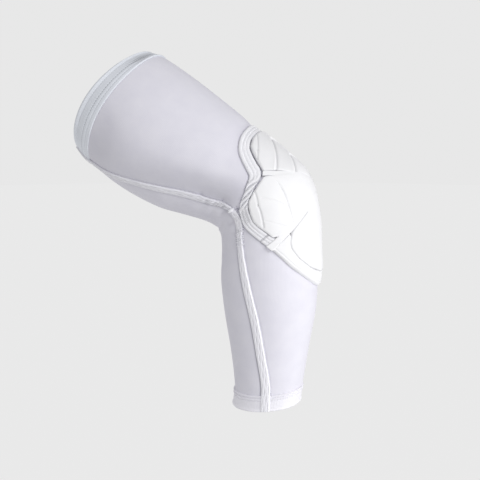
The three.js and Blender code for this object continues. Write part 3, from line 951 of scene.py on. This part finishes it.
def tack(piece, hand):
    """The knot as a ridged dome, closed below."""
    rings = np.linspace(TACK_MIDDLE, 1, TACK_RINGS)[:, None]
    angles = np.linspace(0, math.tau, TACK_SIDES, endpoint=False)[None, :]
    along = TACK_ALONG + TACK_RADIUS * rings * np.cos(angles)
    turn = TACK_TURN + np.degrees(TACK_RADIUS * rings * np.sin(angles) / PAD_RADIUS)
    twist = TACK_RIDGES["count"] * angles + TACK_RIDGES["twist"] * rings
    ridges = 1 + TACK_RIDGES["swing"] * np.sin(twist)
    dome = TACK_RISE * np.sqrt(np.clip(1 - rings ** 2, 0, 1)) * ridges
    top = above(along, hand * turn, CLOTH / 2 + dome)
    skin = np.vstack([top, on_cloth(along, hand * turn)[::-1]])
    closed_rings(piece, skin, np.zeros_like(skin), 1)


side_seam("seam_near_tape", 1, "seam_near")
side_seam("seam_far_tape", -1, "seam_far")


# Hems

HEM_RIB_STEPS = 7
HEM_COLUMNS = 56
HEM_RIB_PITCH = 2.4
HEM_RIB_RISE = 0.03
# Half thickness over which the ribs come in.
HEM_RIB_FROM = (0.4, 1.0)
# Rounded rim and sewn edge: where the rounding begins, and its radius, as shares of the hem's width.
HEM_RIM = {"share": 0.12, "radius": 0.14}
HEM_SEWN = {"share": 0.95, "radius": 0.058}
# A raised roll near the rim, which has a painted highlight.
HEM_ROLL = {"share": 0.1, "half_width": 0.08, "rise": 0.5}
# Needle holes: how far they sink the band, their half width, and how their painted shade swings with the
# ribs.
HOLES = {"depth": 0.45, "half_width": 0.5, "swing": 0.9}
CORD_HALF_WIDTH = 0.8
CORD_FADE = (22.0, 58.0)
# A sunken patch near the outer side, with painted shade over its ribs: its place round the hem and across
# it.
SHADED_RIBS = {"turn": 24.0, "half_turn": 16.0, "share": 0.6, "half_share": 0.24}
RIBBED_DEPTH = 1.0
RIBBED_PAINTED_SHADE = 0.5
RIBBED_SWING = 0.7
# Painted highlight on the roll by the rim, and painted light over the inner side, coming in between these
# turns.
RIM_HIGHLIGHT = 0.5
INNER_PAINTED_LIGHT = 0.25
INNER_FROM = (80.0, 125.0)


def hem_half(share):
    """Half thickness across a hem, from its rim at 0 to its sewn edge at 1."""
    rim = cord(np.minimum(share, HEM_RIM["share"]) - HEM_RIM["share"], HEM_RIM["radius"])
    edge = cord(np.maximum(share, HEM_SEWN["share"]) - HEM_SEWN["share"], HEM_SEWN["radius"])
    return HEM / 2 * np.minimum(rim, edge)


def hem_shape(turn, share, width, rib, holes, cords, shaded_ribs):
    """Height of a hem over the cloth's middle, and its painted shade."""
    half = hem_half(share)
    roll = bell(share - HEM_ROLL["share"], HEM_ROLL["half_width"])
    lift = half + HEM_RIB_RISE * rib * smooth_step(half, *HEM_RIB_FROM) + HEM_ROLL["rise"] * roll
    gap = -RIM_HIGHLIGHT * roll - INNER_PAINTED_LIGHT * smooth_step(np.abs(turn), *INNER_FROM)
    for place, depth in holes:
        line = bell((share - place) * width, HOLES["half_width"])
        lift = lift - HOLES["depth"] * line
        gap = gap + depth * line * (1 + HOLES["swing"] * rib)
    outer_side = 1 - smooth_step(np.abs(turn), *CORD_FADE)
    for place, rise, rise_away in cords:
        thread = cord((share - place) * width, CORD_HALF_WIDTH)
        lift = lift + blend(rise_away, rise, outer_side) * thread
        gap = gap * (1 - thread)
    ribs_from = bell(np.abs(turn) - SHADED_RIBS["turn"], SHADED_RIBS["half_turn"])
    shown = shaded_ribs * ribs_from * bell(share - SHADED_RIBS["share"], SHADED_RIBS["half_share"])
    gap = gap + RIBBED_PAINTED_SHADE * shown * (1 + RIBBED_SWING * rib)
    return lift - RIBBED_DEPTH * shown, gap


def hem(name, node, material, rim_at, edge_at, holes, cords, shaded_ribs):
    """A doubled edge band. holes are rows of needle holes: place as a share of its width from the rim, and
    painted shade in them. cords are rows of raised thread: place, rise, and rise away from the outer side.
    The last argument is how much of its sunken patch with painted shade shows."""
    count = round(math.tau * float(size_at("depth", edge_at(np.zeros(1)))[0]) / HEM_RIB_PITCH)
    turn = np.linspace(-180, 180, count * HEM_RIB_STEPS, endpoint=False)[:, None]
    share = np.linspace(0, 1, HEM_COLUMNS)[None, :]
    rim = rim_at(turn)
    edge = edge_at(turn)
    along = blend(rim, edge, share)
    rib = np.cos(np.radians(turn) * count)
    lift, gap = hem_shape(turn, share, np.abs(edge - rim), rib, holes, cords, shaded_ribs)
    top = above(along, turn, lift)
    under = above(along, turn, -hem_half(share))
    across = np.radians(turn) * size_at("depth", along)
    piece = Piece()
    slab(piece, top, under, weave_places(across, along, np.minimum(gap, 1)), looped=True)
    settle(piece.build(name, [material]), "hem_band", node)


def lower_rim(turn):
    return np.full_like(turn, LENGTH)


def lower_edge(turn):
    return np.full_like(turn, LENGTH - LOWER_HEM_WIDTH)


UPPER_HEM = {
    "rim_at": upper_rim,
    "edge_at": upper_edge,
    "holes": ((0.24, 0.06), (0.6, 0.32), (0.79, 0.1)),
    "cords": ((0.94, 0.65, 0.0),),
    "shaded_ribs": 1.0,
}
LOWER_HEM = {
    "rim_at": lower_rim,
    "edge_at": lower_edge,
    "holes": ((0.68, 0.1), (0.86, 0.1)),
    "cords": ((0.77, 0.7, 0.7), (0.95, 0.7, 0.7)),
    "shaded_ribs": 0.0,
}
hem("upper_hem_band", "upper_hem", BAND, **UPPER_HEM)
hem("lower_hem_band", "lower_hem", CUFF, **LOWER_HEM)


# Bands and bars of the pad

BAND_STEP = 0.5
BAND_COLUMNS = 48
BORDER_WIDTH = 9.5
# Rounded edges of the bands: radius, and height of the edge as a share of the band's rise.
BORDER_EDGE = {"radius": 0.9, "foot": 0.35}
BAND_OUTER_EDGE = {"radius": 2.6, "foot": 0.15}
BAND_INNER_EDGE = {"radius": 1.2, "foot": 0.45}
# Sewn rolls along the border: place and half width, as shares of its width.
BORDER_ROLLS = ((0.17, 0.17), (0.48, 0.14), (0.78, 0.16))
ROLL_RISE = 0.75
# Painted shade between the rolls.
ROLL_PAINTED_SHADE = 0.16
BORDER_STITCHES = (0.17, 0.48)
STITCH = {"pitch": 3.4, "length": 2.3, "radius": 0.35, "sink": 0.12}
# Strokes and mesh of the border, with painted shade between them: a run is where they come in and go out,
# from either end of the border.
TWIST_RUN = ((58.0, 64.0), (90.0, 98.0))
TWIST = {"pitch": 9.0, "slant": 1.4, "rise": 1.9, "gap": 0.38, "power": 0.7, "edge": 1.6}
MESH_RUN = ((34.0, 40.0), (56.0, 62.0))
MESH = {"pitch": 2.3, "rows": 4, "rise": 0.5, "gap": 0.3}
# A fold near each end of the border: where it lies, its half width, its depth and its painted shade.
END_FOLD = {"run": 9.0, "half_width": 1.3, "depth": 1.1, "gap": 0.4}
LOWER_BAND_SLOPE = 1.0
# A groove along the lower band's outer edge, with painted shade in it: how far in, half width, depth and
# painted shade.
LOWER_GROOVE = {"reach": 3.0, "half_width": 0.5, "depth": 0.4, "gap": 0.08}
# Distance round from the outer side over which a bar sinks from nearly level with the cells.
BAR_FADE = (18.5, 25.0)
BAR_BELOW_CELLS = 0.15
BAR_EDGE = {"radius": 1.1, "dip": 0.3}


def band_grid(rows, step, columns):
    """Flat places over a band, with its run, and shares from its outer to its inner edge."""
    line, run = line_across(rows, step)
    inward = left_of(line)
    to_middle = np.stack([PAD_MIDDLE - line[:, 0], -line[:, 1]], axis=1)
    facing = np.sign(np.sum(inward * to_middle, axis=1))[:, None]
    share = np.linspace(0, 1, columns)
    reach = line[:, 2:3] * share[None, :]
    flat = line[:, None, :2] + (inward * facing)[:, None, :] * reach[..., None]
    return flat, run[:, None], share[None, :], reach


def edge_round(share, width, radius):
    """Rounded edges of a band: 0 at both edges, 1 inside."""
    from_edge = np.minimum(share, 1 - share) * width
    return cord(np.clip(radius - from_edge, 0, radius), radius)


def raised_edge(inside, edge):
    """Height over a rounded edge, from its foot to 1, at distances inside it."""
    curve = cord(np.clip(edge["radius"] - inside, 0, None), edge["radius"])
    return blend(edge["foot"], 1, curve)


def on_run(from_end, run):
    """1 between the two fading ends of a run, 0 outside it."""
    return smooth_step(from_end, *run[0]) * (1 - smooth_step(from_end, *run[1]))


def border_shape(run, share, length):
    """Height of the stitched border over its foot, and its painted shade: sewn rolls along it, a mesh of
    stitches at its side lobe, rope-like strokes beside the notch, and a fold near each end."""
    from_end = np.minimum(run, length - run)
    twisted = on_run(from_end, TWIST_RUN)
    meshed = on_run(from_end, MESH_RUN)
    rounded = edge_round(share, BORDER_WIDTH, BORDER_EDGE["radius"])
    body = blend(BORDER_OUTER_RISE, BORDER_INNER_RISE, share) * blend(BORDER_EDGE["foot"], 1, rounded)
    rolls = np.zeros(np.broadcast(run, share).shape)
    for place, half_width in BORDER_ROLLS:
        rolls = np.maximum(rolls, cord(share - place, half_width))
    slanted = from_end / TWIST["pitch"] - TWIST["slant"] * share
    strokes = np.abs(np.sin(math.pi * slanted)) ** TWIST["power"]
    knots = np.abs(np.sin(math.pi * from_end / MESH["pitch"]) * np.sin(math.pi * MESH["rows"] * share))
    ridges = ROLL_RISE * rolls * (1 - twisted)
    ridges = ridges + TWIST["rise"] * strokes * twisted * edge_round(share, BORDER_WIDTH, TWIST["edge"])
    ridges = ridges + MESH["rise"] * knots * meshed
    gap = ROLL_PAINTED_SHADE * (1 - rolls) ** 2 * (1 - twisted) + TWIST["gap"] * (1 - strokes) * twisted
    fold = bell(from_end - END_FOLD["run"], END_FOLD["half_width"]) * rounded
    gap = np.maximum.reduce([gap, MESH["gap"] * (1 - knots) * meshed, END_FOLD["gap"] * fold])
    return body + ridges - END_FOLD["depth"] * fold, gap


def pad_border():
    flat, run, share, reach = band_grid(BORDER, BAND_STEP, BAND_COLUMNS)
    length = float(run[-1, 0])
    lift, gap = border_shape(run, share, length)
    top = above_pad(flat, PAD_FOOT + lift)
    under = above_pad(flat, PAD_FOOT)
    piece = Piece()
    slab(piece, top, under, weave_places(reach, run, gap))
    for row in BORDER_STITCHES:
        border_stitches(piece, flat, run, share, row, length)
    settle(piece.build("pad_border_stitched", [EDGING, THREAD]), "pad_edging", "pad_border")


def border_stitches(piece, flat, run, share, row, length):
    """A row of stitches along the border at a share of its width."""
    column = int(round(row * (flat.shape[1] - 1)))
    line = flat[:, column]
    middle = np.arange(STITCH["pitch"], length - STITCH["pitch"], STITCH["pitch"])

    def on_row(places):
        spot = np.stack([np.interp(places, run[:, 0], line[:, k]) for k in (0, 1)], axis=1)
        return spot, PAD_FOOT + border_shape(places, share[0, column], length)[0] - STITCH["sink"]

    first = above_pad(*on_row(middle - STITCH["length"] / 2))
    last = above_pad(*on_row(middle + STITCH["length"] / 2))
    spot = on_row(middle)[0]
    out = normal_of(spot[:, 0], np.degrees(spot[:, 1] / PAD_RADIUS))
    stitches(piece, first, last, out, STITCH["radius"], 1)


def pad_lower_band():
    """The smooth band below the lower bar, with a groove along its outer edge."""
    flat, run, share, reach = band_grid(LOWER_BAND, BAND_STEP, BAND_COLUMNS)
    width = reach[:, -1:]
    outer = raised_edge(share * width, BAND_OUTER_EDGE)
    inner = raised_edge((1 - share) * width, BAND_INNER_EDGE)
    body = LOWER_BAND_RISE * np.minimum(outer, inner) + LOWER_BAND_SLOPE * share
    groove = bell(share * width - LOWER_GROOVE["reach"], LOWER_GROOVE["half_width"])
    top = above_pad(flat, PAD_FOOT + body - LOWER_GROOVE["depth"] * groove)
    under = above_pad(flat, PAD_FOOT)
    piece = Piece()
    slab(piece, top, under, weave_places(reach, run, LOWER_GROOVE["gap"] * groove))
    settle(piece.build("pad_lower_band_edge", [COVER]), "pad_edging", "pad_lower_band")


def pad_bar(name, rows, node):
    """A raised bar across the pad, nearly level with the cells at the outer side."""
    line, run = line_across(rows, BAND_STEP)
    share = np.linspace(-1, 1, BAND_COLUMNS)[None, :]
    width = line[:, 2:3]
    offset = share * width / 2
    flat = line[:, None, :2] + left_of(line)[:, None, :] * offset[..., None]
    flush = 1 - smooth_step(np.abs(line[:, 1:2]), *BAR_FADE)
    rise = blend(BAR_RISE, CELL_RISE - BAR_BELOW_CELLS, flush)
    dip = BAR_EDGE["dip"] * (1 - flush) * (1 - edge_round((share + 1) / 2, width, BAR_EDGE["radius"]))
    top = above_pad(flat, PAD_FOOT + rise * (1 - dip))
    under = above_pad(flat, PAD_FOOT)
    piece = Piece()
    slab(piece, top, under, weave_places(offset, run[:, None]))
    settle(piece.build(name, [COVER]), "pad_edging", node)


pad_border()
pad_lower_band()
pad_bar("pad_upper_bar_ridge", UPPER_BAR, "pad_upper_bar")
pad_bar("pad_lower_bar_ridge", LOWER_BAR, "pad_lower_bar")


# Foam cells

CELL_STEP = 0.85
RING_STEP = 0.78
CORNER_STEPS = 6
# A corner's rounding takes at most this share of a side.
CORNER_SHARE = 0.35
# Least cosine of half a corner's turn, which keeps sharp corners from moving far in.
LEAST_COSINE = 0.4
# The slope of a cell's edge: the length of its shoulder, and the shoulder's share of the climb.
SHOULDER = 0.4
SHOULDER_SHARE = 0.6
# Heights of the wall at an open and at a closed groove and of the top's edge, as shares of the rise.
OPEN_WALL = 0.58
CLOSED_WALL = 0.93
TOP_EDGE = 0.95
CELL_LAP = 0.12
# Painted shade at the foot of a groove, less where it is closed.
FOOT_PAINTED_SHADE = 0.68
# Places of the rings: out over the underside, up the slope, and in from the top's edge, in millimetres.
UNDER_SHARES = (0.02, 0.2, 0.4, 0.6, 0.8)
EDGE_SHARES = (0.0, 0.03, 0.07, 0.12, 0.2, 0.3, 0.45, 0.65, 0.8, 0.88, 0.94, 1.0)
TOP_STEPS = (0.35, 0.7, 1.2, 1.8)
LAST_RING = 0.985
LEAST_RINGS = 6


def inset(corners, distances):
    """The corners moved inwards, each by its own distance."""
    before = corners - np.roll(corners, 1, axis=0)
    after = np.roll(corners, -1, axis=0) - corners
    before /= np.linalg.norm(before, axis=1, keepdims=True)
    after /= np.linalg.norm(after, axis=1, keepdims=True)
    turning = np.arccos(np.clip(np.sum(before * after, axis=1), -1, 1))
    half_turn = np.maximum(np.cos(turning / 2), LEAST_COSINE)
    both = before + after
    inward = np.stack([-both[:, 1], both[:, 0]], axis=1)
    inward /= np.linalg.norm(inward, axis=1, keepdims=True)
    facing = np.sum(inward * (corners.mean(axis=0) - corners), axis=1)
    inward[facing < 0] *= -1
    return corners + inward * (distances / half_turn)[:, None]


def rounded_outline(corners, counts):
    """A closed outline with rounded corners and a fixed number of steps on each side."""
    after = np.roll(corners, -1, axis=0)
    length = np.linalg.norm(after - corners, axis=1)
    clip = np.minimum(CELL_CORNER / length, CORNER_SHARE)
    bend = np.linspace(0, 1, CORNER_STEPS, endpoint=False)[:, None]
    points = []
    for i, corner in enumerate(corners):
        previous = corners[i - 1]
        arrive = blend(corner, previous, clip[i - 1])
        leave = blend(corner, after[i], clip[i])
        points.append((1 - bend) ** 2 * arrive + 2 * bend * (1 - bend) * corner + bend ** 2 * leave)
        reach = blend(after[i], corner, clip[i])
        share = np.linspace(0, 1, counts[i], endpoint=False)[:, None]
        points.append(blend(leave, reach, share))
    return np.vstack(points)


def along_outline(values, counts):
    """Values of the corners spread over the outline's points."""
    after = np.roll(values, -1)
    spread = []
    for i, value in enumerate(values):
        spread.append(np.full(CORNER_STEPS, value))
        spread.append(blend(value, after[i], np.linspace(0, 1, counts[i], endpoint=False)))
    return np.concatenate(spread)


def cell_rings(foot_line, top_line, width, closed):
    """Rings of a cell: out along its underside, up its wall, over its slope and in over its crowned top.
    Gives their flat places, lifts and painted shade."""
    middle = top_line.mean(axis=0)
    even = np.ones(len(foot_line))
    rings = [(blend(middle, foot_line, share), 0 * even, even) for share in UNDER_SHARES]
    rings.append((foot_line, 0 * even, FOOT_PAINTED_SHADE * (1 - closed)))
    wall_share = blend(OPEN_WALL, CLOSED_WALL, closed)
    for share in EDGE_SHARES:
        shoulder = 1 - np.exp(-share * width / SHOULDER)
        climb = SHOULDER_SHARE * shoulder + (1 - SHOULDER_SHARE) * share
        height = CELL_RISE * blend(wall_share, TOP_EDGE, climb)
        rings.append((blend(foot_line, top_line, share), height, 0 * even))
    reach = np.linalg.norm(top_line - middle, axis=1).max()
    near_edge = np.array(TOP_STEPS) / reach
    inner = np.linspace(near_edge[-1], LAST_RING, max(LEAST_RINGS, int(reach / RING_STEP)))[1:]
    for share in np.concatenate([near_edge, inner]):
        crown = CELL_RISE * blend(TOP_EDGE, 1, 1 - (1 - share) ** 2)
        rings.append((blend(top_line, middle, share), crown * even, 0 * even))
    return [np.stack(column) for column in zip(*rings)]


def pressed(flat, lift, gap, creases):
    """Lifts and painted shade of a cell with lines pressed into its cover."""
    for start, end, depth, line_gap in creases:
        from_line = distance_to_segment(flat, *flat_of([start, end]))
        line = bell(from_line, CREASE_HALF_WIDTH) * (lift > CREASED_FROM * CELL_RISE)
        lift = lift - depth * line
        gap = gap + line_gap * line
    return lift, gap


def foam_cell(name, rows, creases, cell_shade, node):
    """A crowned foam pad, closed all round, with lines pressed into its cover."""
    table = flat_of(rows)
    slopes = table[:, 2]
    closed = table[:, 3]
    foot = inset(table[:, :2], GROOVE / 2 - (GROOVE / 2 + CELL_LAP) * closed)
    top = inset(table[:, :2], GROOVE / 2 + slopes)
    sides = np.linalg.norm(np.roll(foot, -1, axis=0) - foot, axis=1)
    counts = np.maximum(2, np.round(sides / CELL_STEP).astype(int))
    foot_line = rounded_outline(foot, counts)
    top_line = rounded_outline(top, counts)
    width = along_outline(slopes, counts)
    flat, lift, gap = cell_rings(foot_line, top_line, width, along_outline(closed, counts))
    # A cell's own painted shade lies over all of its cover.
    lift, gap = pressed(flat, lift, np.maximum(gap, cell_shade), creases)
    piece = Piece()
    closed_rings(piece, above_pad(flat, PAD_FOOT + lift), weave_places(flat[..., 1], flat[..., 0], gap))
    made = settle(piece.build(name, [COVER]), "pad_cover", node)


def mirrored_creases(creases):
    return [(*mirrored([start, end]), depth, gap) for start, end, depth, gap in creases]


for cell, rows in SIDE_CELLS.items():
    creases = CREASES.get(cell, [])
    cell_shade = CELL_PAINTED_SHADES.get(cell, 0.0)
    foam_cell(f"{cell}_near_foam", rows, creases, cell_shade, f"{cell}_near")
    foam_cell(f"{cell}_far_foam", mirrored(rows), mirrored_creases(creases), cell_shade, f"{cell}_far")
for cell, rows in MIDDLE_CELLS.items():
    creases = CREASES.get(cell, [])
    whole = rows + mirrored(rows[1:-1])[::-1]
    foam_cell(f"{cell}_foam", whole, creases + mirrored_creases(creases), 0.0, cell)


# Floor, light and camera

BACKDROP = 0.806
FLOOR_HEIGHT = -0.6
FLOOR_RADIUS = 8.0
FLOOR_SIDES = 96
FLOOR_GREY = 0.02
AMBIENT = 0.488
LIGHT_TARGET = (0.0, 0.0, -0.03)
LIGHT_SIZE = 0.5
# Soft lights: place in metres, power in watts.
LIGHTS = {
    "side_light": ((0.58, -0.05, -0.32), 1.78),
    "high_light": ((0.46, -0.48, 0.32), 2.72),
    "low_light": ((0.05, -0.5, -0.45), 0.5),
    "inner_light": ((-0.58, 0.22, -0.3), 0.66),
}


def neutral(value):
    """An opaque colour without tint."""
    return (value, value, value, 1)


def floor():
    angles = np.arange(FLOOR_SIDES) * math.tau / FLOOR_SIDES
    corners = [(FLOOR_RADIUS * math.cos(a), FLOOR_RADIUS * math.sin(a), FLOOR_HEIGHT) for a in angles]
    mesh = bpy.data.meshes.new("floor")
    mesh.from_pydata(corners, [], [tuple(range(FLOOR_SIDES))])
    material = bpy.data.materials.new("floor")
    material.use_nodes = True
    shader = material.node_tree.nodes["Principled BSDF"]
    shader.inputs["Base Color"].default_value = neutral(FLOOR_GREY)
    shader.inputs["Roughness"].default_value = 1.0
    shader.inputs["Specular IOR Level"].default_value = 0.0
    shader.inputs["Emission Color"].default_value = neutral(BACKDROP)
    shader.inputs["Emission Strength"].default_value = 1.0
    mesh.materials.append(material)
    ground = bpy.data.objects.new("floor", mesh)
    bpy.context.scene.collection.objects.link(ground)
    ground.visible_diffuse = False
    ground.visible_glossy = False


def surroundings():
    """A pale backdrop for the camera, and a soft neutral light from all sides for the cloth."""
    world = bpy.data.worlds.new("studio")
    world.use_nodes = True
    tree = world.node_tree
    lit = tree.nodes["Background"]
    lit.inputs["Color"].default_value = neutral(AMBIENT)
    seen = tree.nodes.new("ShaderNodeBackground")
    seen.inputs["Color"].default_value = neutral(BACKDROP)
    path = tree.nodes.new("ShaderNodeLightPath")
    mix = tree.nodes.new("ShaderNodeMixShader")
    tree.links.new(path.outputs["Is Camera Ray"], mix.inputs["Fac"])
    tree.links.new(lit.outputs[0], mix.inputs[1])
    tree.links.new(seen.outputs[0], mix.inputs[2])
    tree.links.new(mix.outputs[0], tree.nodes["World Output"].inputs["Surface"])
    bpy.context.scene.world = world


def soft_light(name, place, power):
    data = bpy.data.lights.new(name, "AREA")
    data.shape = "DISK"
    data.size = LIGHT_SIZE
    data.energy = power
    lamp = bpy.data.objects.new(name, data)
    lamp.location = place
    lamp.rotation_euler = (Vector(LIGHT_TARGET) - Vector(place)).to_track_quat("-Z", "Y").to_euler()
    lamp.visible_camera = False
    bpy.context.scene.collection.objects.link(lamp)


CAMERA_AZIMUTH = 16.0
CAMERA_ELEVATION = 9.0
CAMERA_DISTANCE = 0.65
CAMERA_AIM = (-0.02625, -0.01295, -0.03289)
VIEW_HEIGHT = 0.432
CLIP_START = 0.01


def camera():
    azimuth = math.radians(CAMERA_AZIMUTH)
    elevation = math.radians(CAMERA_ELEVATION)
    back = Vector((
        math.sin(azimuth) * math.cos(elevation),
        -math.cos(azimuth) * math.cos(elevation),
        math.sin(elevation),
    ))
    data = bpy.data.cameras.new("camera")
    data.sensor_fit = "HORIZONTAL"
    data.angle = 2 * math.atan(VIEW_HEIGHT / 2 / CAMERA_DISTANCE)
    data.clip_start = CLIP_START
    lens = bpy.data.objects.new("camera", data)
    lens.location = Vector(CAMERA_AIM) + back * CAMERA_DISTANCE
    lens.rotation_euler = back.to_track_quat("Z", "Y").to_euler()
    bpy.context.scene.collection.objects.link(lens)
    bpy.context.scene.camera = lens


floor()
surroundings()
for light, (place, power) in LIGHTS.items():
    soft_light(light, place, power)
camera()
bpy.context.scene.view_settings.view_transform = "Standard"
